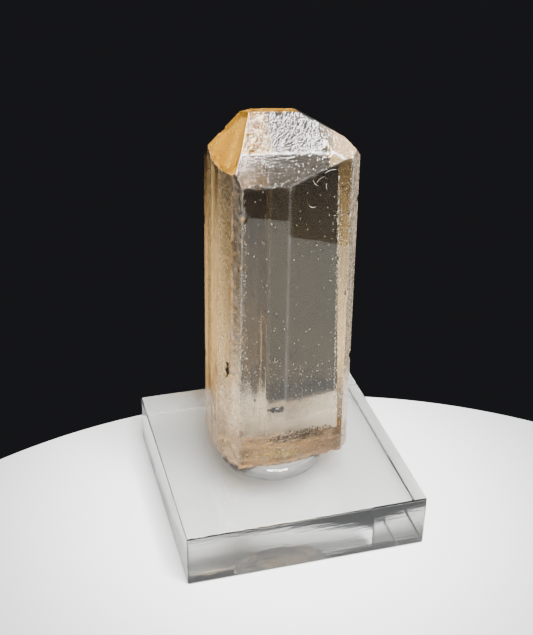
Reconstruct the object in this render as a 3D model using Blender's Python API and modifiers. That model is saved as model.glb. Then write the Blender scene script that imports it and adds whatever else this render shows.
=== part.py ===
"""Topaz crystal on an acrylic block.

A long champagne-coloured topaz prism stands on the flat end where it broke from its rock. A drop of
clear adhesive holds it on a square block of clear acrylic. The origin is the middle of the block's
underside, +Z is up, and the block's front edge lies towards -Y. Lengths are in metres, angles in
degrees.
"""

import math
import random

import bmesh
import bpy
from mathutils import Matrix, Vector

MM = 0.001

# The acrylic block
BLOCK_SIDE = 50.8 * MM
BLOCK_HEIGHT = 11.9 * MM
BLOCK_EDGE_RADIUS = 0.4 * MM

# How the crystal stands on it
CRYSTAL_FOOT_HEIGHT = 14.4 * MM
CRYSTAL_LEAN_BACK = 2.0
CRYSTAL_LEAN_RIGHT = 0.3
TOUCHING_GAP = 0.3 * MM

# The drop of adhesive: a flat-topped pool with a swollen rim
DROP_CENTRE = Vector((-1.6 * MM, -1.2 * MM, 0.0))
DROP_FLAT_RADIUS = 9.4 * MM
DROP_RIM_SWELL = 1.8 * MM
DROP_RIM_MIDDLE = 12.9 * MM
DROP_RIM_RISE = 1.7 * MM
DROP_SIDES = 48
DROP_RIM_STEPS = 8

# The block that the crystal is sliced from
ROUGH_BLOCK = Vector((60 * MM, 60 * MM, 100 * MM))

# The prism's sides: which way each faces (0 is the front, 90 the right), how far it slopes inwards
# towards the top, and its distance from the crystal's own axis at the foot, in millimetres.
PRISM_FACES = {
    "front_left": (-4, -0.2, 10.6),
    "front_right": (9, -0.2, 10.2),
    "right_front": (47, 0.2, 14.5),
    "right": (90, 0.2, 13.9),
    "right_back": (125, 1.4, 14.5),
    "back_right": (170, 0.0, 9.3),
    "back_left": (-177, 0.0, 9.7),
    "left_back": (-133, 0.2, 16.0),
    "left": (-92, 0.5, 14.1),
    "left_middle": (-83.5, 0.4, 13.7),
    "left_front": (-76, 0.3, 13.6),
    "corner_left": (-62, 0.2, 14.2),
}

# The faces of the free end: which way each faces, how steeply it looks up, and the height in
# millimetres at which its plane crosses the crystal's own axis.
END_FACES = {
    "front_roof": (-3, 32, 79.9),
    "upper_roof": (-2.5, 39.2, 77.1),
    "right_roof": (7, 41.7, 77.7),
    "shoulder": (95.5, 40.3, 81.3),
    "right_slope": (103, 58.3, 75.1),
    "left_roof": (-79, 30.3, 86.9),
    "left_back_roof": (-131.5, 41.2, 81.4),
    "crest": (165, 75, 73.5),
}

# Growth grooves on the prism: how many each side has
GROOVES_PER_SIDE = {
    "left": 3,
    "left_middle": 3,
    "left_front": 4,
    "corner_left": 2,
    "front_left": 3,
    "front_right": 4,
    "right_front": 2,
    "right": 6,
    "right_back": 3,
    "back_right": 6,
    "back_left": 6,
    "left_back": 3,
}
GROOVE_WIDTHS = (0.35 * MM, 0.8 * MM)
GROOVE_DEPTHS = (0.08 * MM, 0.2 * MM)
GROOVE_LENGTHS = (9 * MM, 30 * MM)
GROOVE_END_MARGIN = 3 * MM
GROOVE_DRIFT = 0.35

# The hollow dissolved into the left roof: the lens that scoops it out (half width, half length, half
# depth), how far the lens stands off the face, and its place as shares of the face's width and height
HOLLOW_LENS = Vector((7.0 * MM, 11.0 * MM, 2.4 * MM))
HOLLOW_STAND_OFF = 1.75 * MM
HOLLOW_PLACE = (0.5, 0.45)

# Etch marks: slanting nicks on the upper roof and shallow pits on the front roof. The spans are
# shares of the face's width and height.
NICK_COUNT = 14
NICK_SPAN_ACROSS = (0.2, 0.72)
NICK_SPAN_UP = (0.3, 0.8)
NICK_TILT = -28.0
NICK_LENGTHS = (1.6 * MM, 3.0 * MM)
NICK_WIDTHS = (0.25 * MM, 0.45 * MM)
NICK_DEPTH = 0.12 * MM
PIT_COUNT = 12
PIT_SPAN_ACROSS = (0.12, 0.55)
PIT_SPAN_UP = (0.2, 0.85)
PIT_RADII = (0.3 * MM, 0.6 * MM)
PIT_DEPTH = 0.1 * MM

# Chips: the two faces whose edge is chipped, whether the place is a height ("up") or a distance to
# the right of the axis ("across"), that place, the radius of the bite and its depth, in millimetres
CHIPS = [
    ("corner_left", "front_left", "up", 57.0, 1.4, 0.45),
    ("corner_left", "front_left", "up", 52.5, 1.0, 0.30),
    ("corner_left", "front_left", "up", 47.0, 1.2, 0.30),
    ("corner_left", "front_left", "up", 31.0, 1.1, 0.25),
    ("corner_left", "front_left", "up", 9.0, 1.3, 0.35),
    ("front_right", "right_front", "up", 55.0, 1.0, 0.30),
    ("front_right", "right_front", "up", 38.0, 1.3, 0.30),
    ("front_right", "right_front", "up", 14.0, 1.2, 0.35),
    ("right_front", "right", "up", 57.0, 1.3, 0.35),
    ("right_front", "right", "up", 22.0, 1.2, 0.30),
    ("left_back", "left", "up", 49.0, 1.1, 0.30),
    ("left_back", "left", "up", 18.0, 1.4, 0.35),
    ("right_back", "right", "up", 33.0, 1.4, 0.40),
    ("back_right", "right_back", "up", 45.0, 1.2, 0.35),
    ("front_roof", "front_left", "across", -7.6, 1.3, 0.40),
    ("front_roof", "front_left", "across", -1.6, 1.1, 0.30),
    ("front_roof", "front_right", "across", 3.4, 1.2, 0.25),
    ("upper_roof", "front_roof", "across", -7.6, 1.3, 0.35),
    ("upper_roof", "front_roof", "across", 6.4, 1.3, 0.35),
    ("left_roof", "left_back_roof", "across", -10.9, 1.6, 0.35),
    ("foot", "front_left", "across", -6.5, 1.8, 0.40),
    ("foot", "front_left", "across", -1.0, 1.5, 0.30),
    ("foot", "front_right", "across", 5.5, 1.9, 0.40),
    ("foot", "front_right", "across", 9.8, 1.6, 0.35),
    ("foot", "back_left", "across", -6.0, 1.8, 0.40),
    ("foot", "back_right", "across", 5.0, 1.9, 0.45),
]

RANDOM_SEED = 11

# Colours and how each clear material bends light
TOPAZ_COLOUR = (0.93, 0.72, 0.46, 1.0)
TOPAZ_BENDING = 1.615
ADHESIVE_COLOUR = (0.90, 0.94, 0.97, 1.0)
ADHESIVE_BENDING = 1.47
ACRYLIC_COLOUR = (0.94, 0.96, 0.96, 1.0)
ACRYLIC_BENDING = 1.49


def start_clean():
    """Remove whatever objects the file opened with."""
    for thing in list(bpy.data.objects):
        bpy.data.objects.remove(thing)


def new_collection(name):
    collection = bpy.data.collections.new(name)
    bpy.context.scene.collection.children.link(collection)
    return collection


def clear_material(name, colour, bending, roughness):
    """A see-through material with its own colour, refractive index and polish."""
    material = bpy.data.materials.new(name)
    material.use_nodes = True
    shader = material.node_tree.nodes["Principled BSDF"]
    shader.inputs["Base Color"].default_value = colour
    shader.inputs["Roughness"].default_value = roughness
    shader.inputs["IOR"].default_value = bending
    shader.inputs["Transmission Weight"].default_value = 1.0
    return material


def object_from(mesh_data, name, collection, material=None):
    """Turn a bmesh into an object and free the bmesh."""
    mesh = bpy.data.meshes.new(name)
    mesh_data.to_mesh(mesh)
    mesh_data.free()
    thing = bpy.data.objects.new(name, mesh)
    collection.objects.link(thing)
    if material is not None:
        mesh.materials.append(material)
    return thing


def cutter_from(mesh_data, name, placement, parent, collection=None):
    """A cutter set in its parent's frame, shown as wire and left out of the finished object."""
    cutter = object_from(mesh_data, name, collection or CUTTERS)
    cutter.parent = parent
    cutter.matrix_local = placement
    cutter.hide_render = True
    cutter.display_type = "WIRE"
    return cutter


def facing(azimuth, slope):
    """The outward direction of a face that looks towards an azimuth and up by its slope."""
    turn = math.radians(azimuth)
    rise = math.radians(slope)
    return Vector((math.sin(turn) * math.cos(rise), -math.cos(turn) * math.cos(rise), math.sin(rise)))


def face_plane(name):
    """A crystal face as its outward direction and its distance from the middle of the foot."""
    if name == "foot":
        return Vector((0.0, 0.0, -1.0)), 0.0
    if name in PRISM_FACES:
        azimuth, slope, distance = PRISM_FACES[name]
        return facing(azimuth, slope), distance * MM
    azimuth, slope, axis_height = END_FACES[name]
    outward = facing(azimuth, slope)
    return outward, axis_height * MM * outward.z


def edge_point(first, second, measure, place):
    """The point of the edge between two faces at a given height or distance to the right."""
    along = Vector((0.0, 0.0, 1.0)) if measure == "up" else Vector((1.0, 0.0, 0.0))
    planes = [face_plane(first), face_plane(second), (along, place * MM)]
    directions = Matrix([direction for direction, _ in planes])
    distances = Vector([distance for _, distance in planes])
    return directions.inverted() @ distances


def face_frame(name):
    """A face's own frame: X runs across it to the right, Y up it and Z straight out of it."""
    outward, distance = face_plane(name)
    side = Vector((0.0, 0.0, 1.0)).cross(outward).normalized()
    frame = Matrix((side, outward.cross(side), outward)).transposed().to_4x4()
    frame.translation = outward * distance
    return frame


def face_span(crystal, name):
    """How far a face reaches in its own frame: lowest and highest across, lowest and highest up."""
    into_face = face_frame(name).inverted()
    tolerance = 0.01 * MM
    corners = [into_face @ vertex.co for vertex in crystal.data.vertices]
    across = [corner.x for corner in corners if abs(corner.z) < tolerance]
    up = [corner.y for corner in corners if abs(corner.z) < tolerance]
    return min(across), max(across), min(up), max(up)


def spot_on_face(crystal, name, across_share, up_share):
    """A placement on a face, at a share of its width from the left and of its height from below."""
    left, right, low, high = face_span(crystal, name)
    across = left + (right - left) * across_share
    up = low + (high - low) * up_share
    return face_frame(name) @ Matrix.Translation((across, up, 0.0))


def cut_by_face(mesh_data, name):
    """Slice off what lies outside a face and close the cut flat."""
    outward, distance = face_plane(name)
    everything = mesh_data.verts[:] + mesh_data.edges[:] + mesh_data.faces[:]
    cut = bmesh.ops.bisect_plane(
        mesh_data,
        geom=everything,
        plane_co=outward * distance,
        plane_no=outward,
        clear_outer=True,
    )
    rim = [item for item in cut["geom_cut"] if isinstance(item, bmesh.types.BMEdge)]
    bmesh.ops.edgeloop_fill(mesh_data, edges=rim)


def crystal_body(material, stand):
    """The crystal before it is etched and chipped: a rough block sliced by each of its faces."""
    mesh_data = bmesh.new()
    bmesh.ops.create_cube(mesh_data, size=1.0)
    bmesh.ops.scale(mesh_data, vec=ROUGH_BLOCK, verts=mesh_data.verts)
    bmesh.ops.translate(mesh_data, vec=(0.0, 0.0, ROUGH_BLOCK.z / 2), verts=mesh_data.verts)
    for name in [*PRISM_FACES, *END_FACES]:
        cut_by_face(mesh_data, name)
    crystal = object_from(mesh_data, "topaz_crystal", OBJECT, material)
    crystal.parent = stand
    return crystal


def bar(width, depth, length):
    """A bar of diamond section along Y. Centred on a face, its lower half cuts a groove."""
    mesh_data = bmesh.new()
    side = math.sqrt(0.5)
    bmesh.ops.create_cube(mesh_data, size=side)
    quarter = Matrix.Rotation(math.radians(45.0), 3, "Y")
    bmesh.ops.rotate(mesh_data, cent=(0.0, 0.0, 0.0), matrix=quarter, verts=mesh_data.verts)
    stretch = Vector((width, length / side, 2 * depth))
    bmesh.ops.scale(mesh_data, vec=stretch, verts=mesh_data.verts)
    return mesh_data


def lens(half_sizes, segments, rings):
    """A rounded lens that scoops a hollow."""
    mesh_data = bmesh.new()
    bmesh.ops.create_uvsphere(mesh_data, u_segments=segments, v_segments=rings, radius=1.0)
    bmesh.ops.scale(mesh_data, vec=half_sizes, verts=mesh_data.verts)
    return mesh_data


def add_growth_grooves(crystal, stand, dice):
    """Grooves along the prism, one to a lane on each side, each with its own length and depth."""
    for name, count in GROOVES_PER_SIDE.items():
        left, right, low, high = face_span(crystal, name)
        lane = (right - left) / count
        for index in range(count):
            width = min(dice.uniform(*GROOVE_WIDTHS), 0.5 * lane)
            length = dice.uniform(*GROOVE_LENGTHS)
            depth = dice.uniform(*GROOVE_DEPTHS)
            drift = dice.uniform(-GROOVE_DRIFT, GROOVE_DRIFT) * (lane - width)
            across = left + lane * (index + 0.5) + drift
            lowest = low + GROOVE_END_MARGIN + length / 2
            highest = high - 2 * GROOVE_END_MARGIN - length / 2
            up = dice.uniform(lowest, highest)
            placement = face_frame(name) @ Matrix.Translation((across, up, 0.0))
            cutter_from(bar(width, depth, length), f"groove_{name}_{index}", placement, stand)


def add_roof_hollow(crystal, stand):
    """The broad hollow dissolved into the left roof."""
    placement = spot_on_face(crystal, "left_roof", *HOLLOW_PLACE)
    placement = placement @ Matrix.Translation((0.0, 0.0, HOLLOW_STAND_OFF))
    cutter_from(lens(HOLLOW_LENS, segments=24, rings=16), "roof_hollow", placement, stand)


def add_roof_nicks(crystal, stand, dice):
    """Slanting nicks etched into the upper roof."""
    lean = Matrix.Rotation(math.radians(NICK_TILT), 4, "Z")
    for index in range(NICK_COUNT):
        lane = (NICK_SPAN_ACROSS[1] - NICK_SPAN_ACROSS[0]) / NICK_COUNT
        across_share = NICK_SPAN_ACROSS[0] + lane * (index + 0.5)
        up_share = dice.uniform(*NICK_SPAN_UP)
        placement = spot_on_face(crystal, "upper_roof", across_share, up_share) @ lean
        nick = bar(dice.uniform(*NICK_WIDTHS), NICK_DEPTH, dice.uniform(*NICK_LENGTHS))
        cutter_from(nick, f"nick_{index}", placement, stand)


def add_roof_pits(crystal, stand, dice):
    """Shallow round pits etched into the front roof, kept apart by one lane each."""
    for index in range(PIT_COUNT):
        lane = (PIT_SPAN_ACROSS[1] - PIT_SPAN_ACROSS[0]) / PIT_COUNT
        across_share = PIT_SPAN_ACROSS[0] + lane * (index + 0.5)
        up_share = dice.uniform(*PIT_SPAN_UP)
        placement = spot_on_face(crystal, "front_roof", across_share, up_share)
        radius = dice.uniform(*PIT_RADII)
        pit = lens(Vector((radius, radius, PIT_DEPTH)), segments=8, rings=5)
        cutter_from(pit, f"pit_{index}", placement, stand)


def add_edge_chips(stand):
    """Small bites out of the crystal's edges."""
    for index, (first, second, measure, place, radius, depth) in enumerate(CHIPS):
        outward = (face_plane(first)[0] + face_plane(second)[0]).normalized()
        standoff = (radius - depth) * MM
        centre = edge_point(first, second, measure, place) + outward * standoff
        bite = bmesh.new()
        bmesh.ops.create_icosphere(bite, subdivisions=2, radius=radius * MM)
        cutter_from(bite, f"chip_{index}", Matrix.Translation(centre), stand)


def cut_crystal(crystal):
    """Take every cutter out of the crystal."""
    modifier = crystal.modifiers.new("marks", "BOOLEAN")
    modifier.operation = "DIFFERENCE"
    modifier.solver = "EXACT"
    modifier.operand_type = "COLLECTION"
    modifier.collection = CUTTERS


def crystal_stand():
    """The empty that holds the crystal's foot and its lean."""
    stand = bpy.data.objects.new("crystal_stand", None)
    OBJECT.objects.link(stand)
    stand.location = (0.0, 0.0, CRYSTAL_FOOT_HEIGHT)
    stand.rotation_euler = (
        -math.radians(CRYSTAL_LEAN_BACK),
        math.radians(CRYSTAL_LEAN_RIGHT),
        0.0,
    )
    return stand


def drop_profile():
    """The outer side of the drop from its top to its underside, as radii and heights."""
    points = [(0.0, DROP_RIM_MIDDLE + DROP_RIM_RISE)]
    lowest = BLOCK_HEIGHT + TOUCHING_GAP
    last_turn = -math.asin((DROP_RIM_MIDDLE - lowest) / DROP_RIM_RISE)
    for step in range(DROP_RIM_STEPS + 1):
        turn = math.pi / 2 + (last_turn - math.pi / 2) * step / DROP_RIM_STEPS
        radius = DROP_FLAT_RADIUS + DROP_RIM_SWELL * math.cos(turn)
        points.append((radius, DROP_RIM_MIDDLE + DROP_RIM_RISE * math.sin(turn)))
    points.append((0.0, lowest))
    return points


def adhesive_drop(material, stand):
    """The drop, turned from its profile and cut flat under the crystal's foot."""
    mesh_data = bmesh.new()
    verts = [mesh_data.verts.new((radius, 0.0, height)) for radius, height in drop_profile()]
    for upper, lower in zip(verts, verts[1:]):
        mesh_data.edges.new((upper, lower))
    drop = object_from(mesh_data, "clear_adhesive", OBJECT, material)
    drop.location = DROP_CENTRE
    screw = drop.modifiers.new("turned", "SCREW")
    screw.steps = DROP_SIDES
    screw.render_steps = DROP_SIDES
    screw.use_merge_vertices = True
    screw.merge_threshold = 0.01 * MM
    cut = drop.modifiers.new("foot of the crystal", "BOOLEAN")
    cut.operation = "DIFFERENCE"
    cut.solver = "EXACT"
    cut.object = foot_cutter(stand)
    return drop


def foot_cutter(stand):
    """A slab that fills the room over the drop, a gap below the crystal's foot."""
    width = 3 * DROP_FLAT_RADIUS
    thickness = 4 * MM
    mesh_data = bmesh.new()
    bmesh.ops.create_cube(mesh_data, size=1.0)
    bmesh.ops.scale(mesh_data, vec=(width, width, thickness), verts=mesh_data.verts)
    lift = Matrix.Translation((0.0, 0.0, thickness / 2 - TOUCHING_GAP))
    return cutter_from(mesh_data, "drop_top_cutter", lift, stand, OTHER_CUTTERS)


def acrylic_block(material):
    mesh_data = bmesh.new()
    bmesh.ops.create_cube(mesh_data, size=1.0)
    size = (BLOCK_SIDE, BLOCK_SIDE, BLOCK_HEIGHT)
    bmesh.ops.scale(mesh_data, vec=size, verts=mesh_data.verts)
    bmesh.ops.translate(mesh_data, vec=(0.0, 0.0, BLOCK_HEIGHT / 2), verts=mesh_data.verts)
    block = object_from(mesh_data, "acrylic_base", OBJECT, material)
    rounding = block.modifiers.new("eased edges", "BEVEL")
    rounding.width = BLOCK_EDGE_RADIUS
    rounding.segments = 3
    return block


def build():
    dice = random.Random(RANDOM_SEED)
    stand = crystal_stand()
    topaz = clear_material("topaz", TOPAZ_COLOUR, TOPAZ_BENDING, 0.08)
    adhesive = clear_material("adhesive", ADHESIVE_COLOUR, ADHESIVE_BENDING, 0.03)
    acrylic = clear_material("acrylic", ACRYLIC_COLOUR, ACRYLIC_BENDING, 0.03)
    crystal = crystal_body(topaz, stand)
    add_growth_grooves(crystal, stand, dice)
    add_roof_hollow(crystal, stand)
    add_roof_nicks(crystal, stand, dice)
    add_roof_pits(crystal, stand, dice)
    add_edge_chips(stand)
    cut_crystal(crystal)
    adhesive_drop(adhesive, stand)
    acrylic_block(acrylic)


start_clean()
OBJECT = new_collection("topaz_on_acrylic_block")
CUTTERS = new_collection("crystal_cutters")
OTHER_CUTTERS = new_collection("drop_cutters")
build()
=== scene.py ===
"""Looks of the topaz crystal on its acrylic block.

The crystal is remade as a fine mesh from the same faces as the solid, with its growth lines, etching
and worn edges. All lengths are in metres unless a name says millimetres, angles in degrees.
"""

import math
import random

import bmesh
import bpy
import numpy as np
from mathutils import Matrix, Vector, noise


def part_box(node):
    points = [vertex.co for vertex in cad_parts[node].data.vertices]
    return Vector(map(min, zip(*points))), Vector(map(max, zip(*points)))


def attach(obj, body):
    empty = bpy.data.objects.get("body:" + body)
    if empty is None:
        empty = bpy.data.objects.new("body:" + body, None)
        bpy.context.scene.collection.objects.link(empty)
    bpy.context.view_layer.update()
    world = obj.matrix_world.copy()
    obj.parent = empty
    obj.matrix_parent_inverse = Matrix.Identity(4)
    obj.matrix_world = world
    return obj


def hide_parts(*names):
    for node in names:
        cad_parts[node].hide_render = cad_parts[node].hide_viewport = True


MM = 0.001
UP = Vector((0.0, 0.0, 1.0))

# How the crystal stands: the same values as the solid's
FOOT_HEIGHT = 14.4 * MM
LEAN_BACK = 2.0
LEAN_RIGHT = 0.3

# The prism's sides: azimuth, slope and distance from the axis in millimetres
PRISM_FACES = {
    "front_left": (-4, -0.2, 10.6),
    "front_right": (9, -0.2, 10.2),
    "right_front": (47, 0.2, 14.5),
    "right": (90, 0.2, 13.9),
    "right_back": (125, 1.4, 14.5),
    "back_right": (170, 0.0, 9.3),
    "back_left": (-177, 0.0, 9.7),
    "left_back": (-133, 0.2, 16.0),
    "left": (-92, 0.5, 14.1),
    "left_middle": (-83.5, 0.4, 13.7),
    "left_front": (-76, 0.3, 13.6),
    "corner_left": (-62, 0.2, 14.2),
}

# The free end's faces: azimuth, slope and the height where each crosses the axis, in millimetres
END_FACES = {
    "front_roof": (-3, 32, 79.9),
    "upper_roof": (-2.5, 39.2, 77.1),
    "right_roof": (7, 41.7, 77.7),
    "shoulder": (95.5, 40.3, 81.3),
    "right_slope": (103, 58.3, 75.1),
    "left_roof": (-79, 30.3, 86.9),
    "left_back_roof": (-131.5, 41.2, 81.4),
    "crest": (165, 75, 73.5),
}
FACE_NAMES = [*PRISM_FACES, *END_FACES, "foot"]

# Two corners of the block that the plain crystal is sliced from
ROUGH_LOW = Vector((-30 * MM, -30 * MM, 0.0))
ROUGH_HIGH = Vector((30 * MM, 30 * MM, 100 * MM))

# The crystal's mesh: the octree's depth, how much of it the crystal fills, the faces with a finer
# grid, how often the points are moved onto the faces, and the least sine of the angle between two
GRID_DEPTH = 8
GRID_FILL = 0.8
FINER_FACES = ("front_roof", "upper_roof", "left_roof", "crest")
SNAP_ROUNDS = 6
SMALLEST_SLANT = 0.02

# How each face is finished, from 0 to 1: its frosting, its growth lines, its slanting strokes, its
# pits, the glossy veil of its worn skin and its matte share
FINISH_PARTS = ["frost", "lines", "strokes", "pits", "veil", "matte"]
FACE_FINISH = {
    "front_left": (0.0, 0.04, 0.0, 0.05, 0.04, 0.008),
    "front_right": (0.0, 0.04, 0.0, 0.05, 0.04, 0.008),
    "right_front": (0.6, 0.4, 0.0, 0.2, 0.05, 0.32),
    "right": (0.35, 0.5, 0.0, 0.2, 0.03, 0.03),
    "right_back": (0.5, 0.9, 0.0, 0.2, 0.05, 0.0),
    "back_right": (0.35, 0.6, 0.0, 0.1, 0.05, 0.0),
    "back_left": (0.4, 0.6, 0.0, 0.3, 0.05, 0.0),
    "left_back": (0.4, 0.9, 0.0, 0.2, 0.05, 0.0),
    "left": (0.3, 0.9, 0.0, 0.1, 0.03, 0.0),
    "left_middle": (0.3, 0.9, 0.0, 0.1, 0.03, 0.0),
    "left_front": (0.8, 1.0, 0.0, 0.2, 0.03, 0.05),
    "corner_left": (0.8, 1.0, 0.0, 0.8, 0.12, 0.13),
    "front_roof": (0.2, 0.0, 0.0, 0.3, 0.03, 0.035),
    "upper_roof": (0.10, 0.0, 0.6, 0.2, 0.01, 0.0),
    "right_roof": (0.2, 0.0, 0.1, 0.2, 0.05, 0.16),
    "shoulder": (0.3, 0.0, 0.1, 0.3, 0.12, 0.1),
    "right_slope": (0.5, 0.0, 0.1, 0.3, 0.15, 0.1),
    "left_roof": (0.9, 0.0, 0.0, 0.2, 0.03, 0.22),
    "left_back_roof": (0.9, 0.0, 0.0, 0.2, 0.1, 0.3),
    "crest": (0.8, 0.0, 0.0, 0.2, 0.2, 0.35),
    "foot": (1.0, 0.0, 0.0, 0.3, 0.1, 0.1),
}

# How deeply the skin of a matte face is tinted with painted glow, the orange of light scattered out through
# the crystal, and its colour
PAINTED_GLOW = (1.0, 0.57, 0.12, 1.0)
FACE_PAINTED_GLOW = {
    "left_roof": 1.0,
    "left_back_roof": 1.0,
    "crest": 1.0,
    "corner_left": 0.27,
    "right_front": 0.42,
    "right": 0.75,
    "right_roof": 0.35,
}

# The upper roof's left part, tinted peach as a painted glow for the light refracted into it from the sides:
# how far right it goes, how far its end fades to each side, how deep its painted glow is and how matte
UPPER_GLOW_END = -3.6 * MM
UPPER_GLOW_FADE = 0.4 * MM
UPPER_PAINTED_GLOW = 0.95
UPPER_GLOW_MATTE = 0.16

# The growth steps of the back's left half: how many, where the last one ends, how wide each is and
# how steeply it tilts
STEP_COUNT = 5
LAST_STEP = -1.76 * MM
STEP_WIDTH = 1.2 * MM
STEP_SLOPE = -0.262

# Worn edges: how far the wear reaches, how wide its patches are, and how white it is along the free
# end's ridges and elsewhere
WEAR_REACH = 0.5 * MM
WEAR_PATCH = 0.9 * MM
WEAR_MATTE_END = 0.5
WEAR_MATTE_ELSEWHERE = 0.05
WORN_PAIRS = [
    ("upper_roof", "front_roof"),
    ("upper_roof", "left_roof"),
    ("front_roof", "left_roof"),
    ("front_roof", "right_roof"),
]

# Lumps on the broken faces: how high and how wide
FACE_LUMPS = {
    "crest": (0.12 * MM, 1.1 * MM),
    "left_roof": (0.12 * MM, 3.5 * MM),
    "left_back_roof": (0.15 * MM, 2.5 * MM),
    "right_slope": (0.1 * MM, 1.5 * MM),
    "corner_left": (0.12 * MM, 1.2 * MM),
}

# Strokes cut into the upper roof: how many, their tilt and how far it strays, their lengths, half
# widths and depths, and how matte they are
STROKE_COUNT = 120
STROKE_TILT = -28.0
STROKE_STRAY = 9.0
STROKE_LENGTHS = (0.9 * MM, 2.4 * MM)
STROKE_HALF_WIDTHS = (0.16 * MM, 0.28 * MM)
STROKE_DEPTHS = (0.06 * MM, 0.16 * MM)
STROKE_MATTE = 0.05

# The relief of the growth lines: how deep, how wide and how long the narrow and the wide ones are
LINE_DEPTH = 0.10 * MM
LINE_WIDTH = 1.1 * MM
LINE_LENGTH = 26 * MM
WIDE_LINE_WIDTH = 2.4 * LINE_WIDTH
WIDE_LINE_LENGTH = 1.6 * LINE_LENGTH

# The hollow dissolved into the left roof: half width, half length and depth
HOLLOW_HALF_WIDTH = 6.5 * MM
HOLLOW_HALF_LENGTH = 8.5 * MM
HOLLOW_DEPTH = 0.6 * MM

# How far from an edge the lines and the hollow, the strokes and the lumps have their full depth
LINE_FADE = 0.9 * MM
STROKE_FADE = 0.3 * MM
LUMP_FADE = 0.4 * MM

# The broken foot: the height and the size of its lumps, and which parts of that height it has
# everywhere, in its lumps and on its ledges
FOOT_LUMP_HEIGHT = 0.5 * MM
FOOT_LUMP_SIZE = 1.9 * MM
FOOT_BASE_PART = 0.45
FOOT_LUMP_PART = 0.55
FOOT_LEDGE_PART = 0.35

# Where each noise is taken from, so that no two are alike
NOISE_SHIFTS = {"wide lines": 3.1, "narrow lines": 8.7, "broad lumps": 5.3, "small lumps": 1.9, "wear": 6.6}

# Chips: for the edge between two faces, placed by height ("up") or by distance to the right of the
# axis ("across"), the place of each chip, the radius of its bite and its depth, in millimetres
CHIPS = {
    ("corner_left", "front_left", "up"): [
        (57.0, 1.4, 0.45),
        (52.5, 1.0, 0.30),
        (47.0, 1.2, 0.30),
        (31.0, 1.1, 0.25),
        (9.0, 1.3, 0.35),
    ],
    ("front_right", "right_front", "up"): [(55.0, 1.0, 0.30), (38.0, 1.3, 0.30), (14.0, 1.2, 0.35)],
    ("right_front", "right", "up"): [(57.0, 1.3, 0.20), (22.0, 1.2, 0.30)],
    ("left_back", "left", "up"): [(49.0, 1.1, 0.30), (18.0, 1.4, 0.35)],
    ("right_back", "right", "up"): [(33.0, 1.4, 0.40)],
    ("back_right", "right_back", "up"): [(41.0, 1.2, 0.20)],
    ("front_roof", "front_left", "across"): [(-7.6, 1.3, 0.25), (-1.6, 1.1, 0.30)],
    ("front_roof", "front_right", "across"): [(3.4, 1.2, 0.25)],
    ("upper_roof", "front_roof", "across"): [(-7.6, 1.3, 0.35), (6.4, 1.3, 0.35)],
    ("left_roof", "left_back_roof", "across"): [(-10.9, 1.6, 0.35)],
    ("foot", "front_left", "across"): [(-6.5, 1.8, 0.40), (-1.0, 1.5, 0.30)],
    ("foot", "front_right", "across"): [(5.5, 1.9, 0.40), (9.8, 1.6, 0.35)],
    ("foot", "back_left", "across"): [(-6.0, 1.8, 0.40)],
    ("foot", "back_right", "across"): [(5.0, 1.9, 0.45)],
}

# Bright grains on the surface: the face, the neighbour along whose edge they lie (or none), how
# many, how far from an edge they reach, from which height to which, the longest, in millimetres, and
# how far they lean to the right, if they do not lie in all directions
GRAINS = [
    ("front_roof", "", 60, 9.0, 0, 90, 0.35, None),
    ("front_roof", "upper_roof", 60, 0.4, 0, 90, 0.55, None),
    ("front_roof", "front_left", 18, 0.4, 0, 90, 0.40, None),
    ("front_roof", "front_right", 18, 0.4, 0, 90, 0.40, None),
    ("upper_roof", "", 200, 19.0, 0, 90, 1.30, 28),
    ("upper_roof", "", 60, 9.0, 0, 90, 0.45, None),
    ("upper_roof", "front_roof", 110, 0.7, 0, 90, 0.60, None),
    ("upper_roof", "left_roof", 60, 0.6, 0, 90, 0.50, None),
    ("right_roof", "", 40, 9.0, 0, 90, 0.40, None),
    ("left_roof", "", 40, 9.0, 0, 90, 0.25, None),
    ("front_left", "corner_left", 190, 0.45, 0, 70, 0.55, 0),
    ("corner_left", "front_left", 190, 0.45, 0, 70, 0.55, 0),
    ("corner_left", "", 200, 9.0, 0, 70, 0.60, 0),
    ("front_left", "", 60, 9.0, 10, 62, 0.55, 0),
    ("front_left", "", 190, 9.0, 0, 26, 0.45, 0),
    ("front_right", "", 80, 9.0, 10, 66, 0.60, 0),
    ("front_right", "", 190, 9.0, 0, 24, 0.45, 0),
    ("front_right", "right_front", 120, 0.6, 0, 68, 0.60, 0),
    ("front_right", "right_front", 90, 4.0, 40, 68, 0.40, None),
    ("right_front", "", 130, 9.0, 0, 70, 0.60, 0),
    ("right_front", "front_right", 80, 0.6, 0, 70, 0.70, 0),
    ("left_front", "", 50, 9.0, 8, 70, 0.60, 0),
    ("left_front", "left_middle", 80, 0.4, 0, 70, 0.60, 0),
    ("left", "", 30, 9.0, 8, 70, 0.60, 0),
]

# Seams of grains: the face, where each starts and ends to the right of the axis and up, how many
# grains, how far they stray and the longest, in millimetres
SEAMS = [
    ("front_right", (8.6, 63.0), (9.9, 12.0), 330, 0.20, 0.60),
    ("front_right", (9.2, 62.0), (10.4, 12.0), 120, 0.12, 0.50),
    ("front_right", (9.5, 12.0), (9.3, 3.0), 60, 0.4, 0.50),
    ("front_left", (-10.0, 56.0), (-9.2, 3.0), 130, 0.35, 0.50),
]

# One grain: how far it keeps from the edges, its width and height, how far it strays in millimetres
# and leans in degrees, and its least and most length and width as parts of the full ones
GRAIN_EDGE_GAP = 0.7 * MM
GRAIN_WIDTH = 0.16 * MM
GRAIN_HEIGHT = 0.025 * MM
GRAIN_STRAY = 0.25
GRAIN_LEAN_SPREAD = 7.0
GRAIN_LENGTHS = (0.3, 1.0)
GRAIN_WIDTHS = (0.5, 1.2)
GRAIN_STOUTNESS = 0.7

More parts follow.
